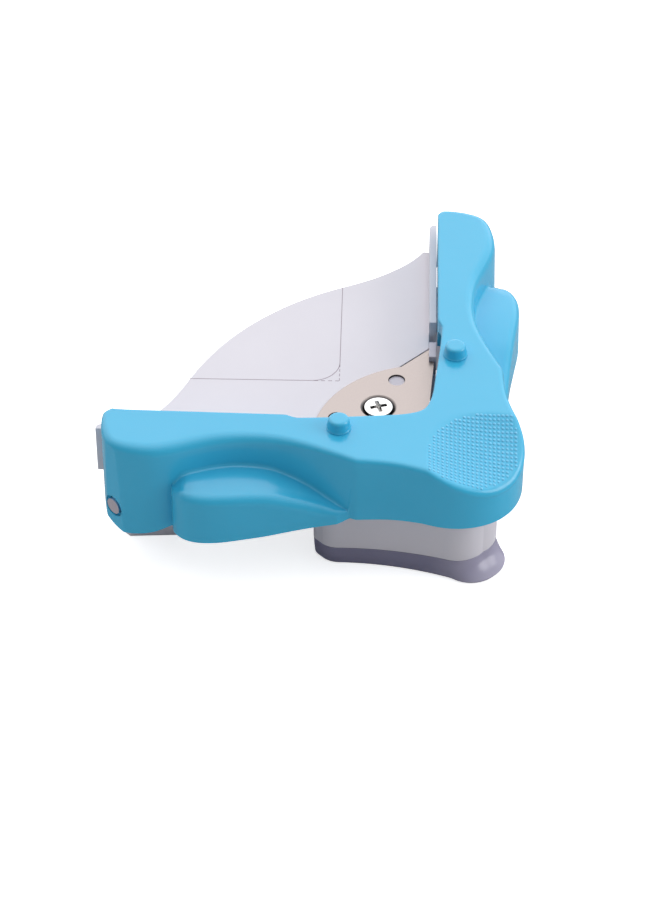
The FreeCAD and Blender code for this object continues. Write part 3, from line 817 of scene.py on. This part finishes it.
def guidePaths():
    z = trayTop + 0.008
    r, reach = guide["corner"], guide["length"]
    paths = []
    solid = [(*armSpot(reach, 0.0), z), (*armSpot(r, 0.0), z)]
    centre = armSpot(r, -r)
    for k in range(1, 16):
        turn = math.radians(-45 - 90 * k / 16)
        solid.append((centre[0] + r * math.cos(turn), centre[1] + r * math.sin(turn), z))
    solid += [(-x, y, z) for x, y, z in solid[:2]][::-1]
    paths.append(solid)
    n = int(r / guide["pitch"])
    for side in (1, -1):
        for k in range(n):
            a = k * guide["pitch"] + 0.05
            ends = [armSpot(a, 0.0), armSpot(min(a + guide["dash"], r), 0.0)]
            paths.append([(side * x, y, z) for x, y in ends])
    return paths


lineVerts, lineEdges = [], []
for path in guidePaths():
    start = len(lineVerts)
    lineVerts += path
    lineEdges += [(start + k, start + k + 1) for k in range(len(path) - 1)]
lineMesh = bpy.data.meshes.new("guidePath")
lineMesh.from_pydata(inFrame(lineVerts), lineEdges, [])
lineHost = bpy.data.objects.new("guideHost", lineMesh)
bpy.context.scene.collection.objects.link(lineHost)
tree, widthKey, thickKey = ribbonTree(printInk)
guideLines = bakeNodes("guideLines", lineHost, tree, {widthKey: guide["width"] * mm,
                                                      thickKey: guide["thick"] * mm}, sharpAngle=30)


# --- chip cover ---

cover = {
    "seam": 4.0, "floor": 1.3, "steps": 12, "flare": 2.2,
    "top": (18.85, (11.95, -24.4), (6.15, -33.0), -36.35),
    "bottom": (18.6, (10.9, -25.9), (5.9, -34.6), -39.4),
    "inside": (17.3, (10.7, -23.4), (4.6, -32.4), -33.8),
}


def threePointArc(a, b, c, steps):
    ax, ay, bx, by, cx, cy = *a, *b, *c
    d = 2 * (ax * (by - cy) + bx * (cy - ay) + cx * (ay - by))
    squareA, squareB, squareC = ax * ax + ay * ay, bx * bx + by * by, cx * cx + cy * cy
    ux = (squareA * (by - cy) + squareB * (cy - ay) + squareC * (ay - by)) / d
    uy = (squareA * (cx - bx) + squareB * (ax - cx) + squareC * (bx - ax)) / d
    turns = [math.atan2(p[1] - uy, p[0] - ux) for p in (a, b, c)]
    r = math.hypot(ax - ux, ay - uy)
    span = (turns[2] - turns[0]) % (2 * math.pi)
    if (turns[1] - turns[0]) % (2 * math.pi) > span:
        span -= 2 * math.pi
    return [(ux + r * math.cos(turns[0] + span * k / steps), uy + r * math.sin(turns[0] + span * k / steps))
            for k in range(steps)]


def footRing(shape, z):
    ear, flank, tip, tipY = shape
    back = -12.4
    half = [(ear * k / 8 * 0.9, back) for k in range(8)]
    half += [(ear * 0.9, back), (ear - 1.5, back)]
    half += threePointArc((ear - 1.5, back), (ear - 0.44, back - 0.44), (ear, back - 1.5), 8)[1:]
    half += [(ear, back - 1.5 - 1.7 * k / 3) for k in range(3)]
    half += threePointArc((ear, -15.6), (ear - 0.45, -17.1), (ear - 1.5, -18.4), 8)
    half += threePointArc((ear - 1.5, -18.4), flank, tip, 40)
    nose = threePointArc(tip, (tip[0] * 0.72, tip[1] + (tipY - tip[1]) * 0.68), (0.0, tipY), 24)
    half += nose + [(0.0, tipY)]
    ring = half + [(-x, y) for x, y in half[1:-1]][::-1]
    for _ in range(3):
        ring = [((ring[k - 1][0] + 4 * ring[k][0] + ring[(k + 1) % len(ring)][0]) / 6,
                 (ring[k - 1][1] + 4 * ring[k][1] + ring[(k + 1) % len(ring)][1]) / 6)
                for k in range(len(ring))]
    return [(x, y, z) for x, y in ring]


def between(a, b, share):
    return tuple(a[k] + (b[k] - a[k]) * share if not isinstance(a[k], tuple)
                 else (a[k][0] + (b[k][0] - a[k][0]) * share, a[k][1] + (b[k][1] - a[k][1]) * share)
                 for k in range(4))


def pulledIn(ring, distance):
    out = []
    for k, (x, y, z) in enumerate(ring):
        ax, ay, _ = ring[k - 2]
        bx, by, _ = ring[(k + 2) % len(ring)]
        tx, ty = bx - ax, by - ay
        size = math.hypot(tx, ty) or 1.0
        out.append((x + ty / size * distance, y - tx / size * distance, z))
    return out


def coverShape():
    top, bottom, seam = cover["top"], cover["bottom"], cover["seam"]
    rings = [footRing(cover["inside"], z)
             for z in (cover["floor"] + 0.05, cover["floor"] + 1.0, seam - 0.05)]
    rings[0] = pulledIn(rings[0], 0.5)
    rings.append(pulledIn(footRing(top, seam), 0.25))
    rings.append(footRing(top, seam - 0.22))
    for k in range(1, cover["steps"] + 1):
        share = k / cover["steps"]
        z = seam - 0.22 - (seam - 0.22 - 0.45) * share
        rings.append(footRing(between(top, bottom, share ** cover["flare"]), z))
    for k in range(1, 5):
        turn = math.pi / 2 * k / 4
        ring = pulledIn(footRing(bottom, 0.45 * (1 - math.sin(turn))), 0.45 * (1 - math.cos(turn)))
        rings.append(ring)
    return joinRings(rings)


chipCover = makePiece("chipCover", *coverShape(), sharpAngle=45)
finishWith(chipCover, smokePlastic)


# --- die screw ---

screw = {"y": -10.0, "head": 2.5, "shank": 1.0, "low": 13.6, "cross": 1.75, "blade": 0.8, "deep": 1.25}


def screwShape():
    z = plateTop
    profile = [(0.05, screw["low"]), (screw["shank"] - 0.2, screw["low"] + 0.1),
               (screw["shank"], screw["low"] + 0.4), (screw["shank"], z - 1.5),
               (screw["head"] - 0.12, z - 0.22), (screw["head"], z - 0.1), (screw["head"], z - 0.02)]
    for k in range(1, 9):
        turn = math.pi / 2 * k / 8
        profile.append((screw["head"] - 0.3 + 0.3 * math.cos(turn), z - 0.02 + 0.1 * math.sin(turn)))
    profile += [(1.5, z + 0.12), (0.7, z + 0.14), (0.05, z + 0.145)]
    return lathe(profile, 0.0, screw["y"], 64)


def crossCutter():
    z = plateTop
    parts = []
    for turn, long, wide in ((61.5, 1.0, 1.0), (151.5, 1.0, 1.0), (16.5, 0.45, 1.35)):
        c, s = math.cos(math.radians(turn)), math.sin(math.radians(turn))
        rings = []
        for share in (0.0, 0.5, 1.0):
            length = long * screw["cross"] * (1 - 0.5 * share)
            half = wide * screw["blade"] / 2 * (1 - 0.3 * share)
            level = z + 0.6 - (screw["deep"] + 0.6) * share
            corners = [(-length, -half), (length, -half), (length, half), (-length, half)]
            rings.append([(x * c - y * s, screw["y"] + x * s + y * c, level) for x, y in corners])
        parts.append(joinRings(rings))
    return parts


dieScrew = makePiece("dieScrew", *screwShape(), sharpAngle=30)
cutWith(dieScrew, crossCutter())
finishWith(dieScrew, zincSteel)

for piece, body, node in ((leverShell, "lever", "press_lever"), (knobs, "lever", "press_lever"),
                          (bosses, "lever", "press_lever"), (padDots, "lever", None),
                          (guideLines, "base", None), (chipCover, "cover", "chip_cover"),
                          (dieScrew, "base", "die_screw")):
    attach(piece, body)
    if node:
        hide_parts(node)


# --- springs, copied from the part meshes and finished in spring steel ---

springs = {"leverSpringLeft": ("lever_spring_left", "lever"),
           "leverSpringRight": ("lever_spring_right", "lever"), "punchSpring": ("punch_spring", "punch")}


def closingSpring(name, node):
    mesh = nodes[node].data.copy()
    mesh.transform(nodes[node].matrix_world)
    work = bmesh.new()
    work.from_mesh(mesh)
    bmesh.ops.remove_doubles(work, verts=work.verts, dist=0.001 * mm)
    work.to_mesh(mesh)
    work.free()
    spring = bpy.data.objects.new(name, mesh)
    bpy.context.scene.collection.objects.link(spring)
    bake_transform(spring)
    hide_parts(node)
    finishWith(spring, springSteel)


for name, (node, moving) in springs.items():
    closingSpring(name, node)
print("pieces are on their bodies")


# --- floor, light and camera ---

stage = {"radius": 1.5, "shade": 0.82, "reflected": 0.4, "glow": 0.68}
floorMesh = bpy.data.meshes.new("floorMesh")
floorMesh.from_pydata([(stage["radius"] * math.cos(2 * math.pi * k / 64),
                        stage["radius"] * math.sin(2 * math.pi * k / 64), -0.00005) for k in range(64)],
                      [], [tuple(range(64))])
floor = bpy.data.objects.new("studioFloor", floorMesh)
bpy.context.scene.collection.objects.link(floor)
floorMaterial, floorShader, floorTree = startMaterial("studioFloorPaint")
floorShader.inputs["Roughness"].default_value = 0.9
floorShader.inputs["Specular IOR Level"].default_value = 0.1
rays = floorTree.nodes.new("ShaderNodeLightPath")
paint = mix(floorTree, rays.outputs["Is Glossy Ray"], (stage["shade"],) * 3, (stage["reflected"],) * 3)
floorTree.links.new(paint, floorShader.inputs["Base Color"])
seen = floorTree.nodes.new("ShaderNodeMath")
seen.operation = "MULTIPLY"
seen.inputs[1].default_value = stage["glow"]
floorTree.links.new(rays.outputs["Is Camera Ray"], seen.inputs[0])
floorShader.inputs["Emission Color"].default_value = (1.0, 1.0, 1.0, 1.0)
floorTree.links.new(seen.outputs["Value"], floorShader.inputs["Emission Strength"])
floorMesh.materials.append(floorMaterial)

studio = {"sky": (0.97, 0.98, 1.0, 1.0), "brightSide": (0.52, 0.55, 0.655), "from": -0.2, "to": 0.85,
          "dim": 0.275, "fill": 1.2, "softbox": 2.6, "backdrop": 1.0}
world = bpy.data.worlds.new("studioWorld")
bpy.context.scene.world = world
world.use_nodes = True
worldTree = world.node_tree
sky = worldTree.nodes["Background"]
sky.inputs["Color"].default_value = studio["sky"]
worldRays = worldTree.nodes.new("ShaderNodeLightPath")
seenDirect = worldTree.nodes.new("ShaderNodeMath")
seenDirect.operation = "MAXIMUM"
worldTree.links.new(worldRays.outputs["Is Camera Ray"], seenDirect.inputs[0])
worldTree.links.new(worldRays.outputs["Is Transmission Ray"], seenDirect.inputs[1])
side = worldTree.nodes.new("ShaderNodeVectorMath")
side.operation = "DOT_PRODUCT"
side.inputs[1].default_value = studio["brightSide"]
ramp = worldTree.nodes.new("ShaderNodeMapRange")
ramp.inputs["From Min"].default_value = studio["from"]
ramp.inputs["From Max"].default_value = studio["to"]
ramp.inputs["To Min"].default_value = studio["dim"]
room = worldTree.nodes.new("ShaderNodeMix")  # reflections see a brighter softbox than the fill gives
room.inputs["A"].default_value = studio["fill"]
room.inputs["B"].default_value = studio["softbox"]
worldTree.links.new(worldRays.outputs["Is Glossy Ray"], room.inputs["Factor"])
worldTree.links.new(room.outputs["Result"], ramp.inputs["To Max"])
level = worldTree.nodes.new("ShaderNodeMix")
level.inputs["B"].default_value = studio["backdrop"]
worldTree.links.new(worldTree.nodes.new("ShaderNodeTexCoord").outputs["Generated"], side.inputs[0])
worldTree.links.new(side.outputs["Value"], ramp.inputs["Value"])
worldTree.links.new(ramp.outputs["Result"], level.inputs["A"])
worldTree.links.new(seenDirect.outputs["Value"], level.inputs["Factor"])
worldTree.links.new(level.outputs["Result"], sky.inputs["Strength"])

view = {"azimuth": -43.541, "elevation": 41.688, "lens": 126.577434, "sensor": 36.0,
        "shift": (-1.658, -18.006), "distance": 560.0}
az, el = math.radians(view["azimuth"]), math.radians(view["elevation"])
backward = Vector((math.sin(az) * math.cos(el), -math.cos(az) * math.cos(el), math.sin(el)))
rightward = Vector((math.cos(az), math.sin(az), 0.0))
upward = backward.cross(rightward)
spotAt = rightward * view["shift"][0] + upward * view["shift"][1] + backward * view["distance"]
camera = bpy.data.objects.new("mainCamera", bpy.data.cameras.new("mainCamera"))
bpy.context.scene.collection.objects.link(camera)
cameraSpot = Vector(inFrame([(spotAt.x, spotAt.y, spotAt.z + leverTop)])[0])
camera.matrix_world = Matrix.Translation(cameraSpot) @ \
    Matrix((rightward, upward, backward)).transposed().to_4x4()
camera.data.sensor_width = view["sensor"]
camera.data.lens = view["lens"]
camera.data.clip_start, camera.data.clip_end = 0.01, 20.0
bpy.context.scene.camera = camera


def addLamp(name, azimuth, elevation, size, power, distance=0.8):
    a, e = math.radians(azimuth), math.radians(elevation)
    direction = Vector((math.sin(a) * math.cos(e), -math.cos(a) * math.cos(e), math.sin(e)))
    lampData = bpy.data.lights.new(name, "AREA")
    lampData.shape, lampData.size, lampData.energy = "DISK", size, power
    lamp = bpy.data.objects.new(name, lampData)
    lamp.location = direction * distance
    lamp.rotation_mode = "QUATERNION"
    lamp.rotation_quaternion = direction.to_track_quat("Z", "Y")
    bpy.context.scene.collection.objects.link(lamp)


addLamp("backSoftbox", azimuth=150, elevation=66, size=1.3, power=1.4)
addLamp("frontFill", azimuth=40, elevation=26, size=0.5, power=2.4)
bpy.context.scene.view_settings.view_transform = "Standard"
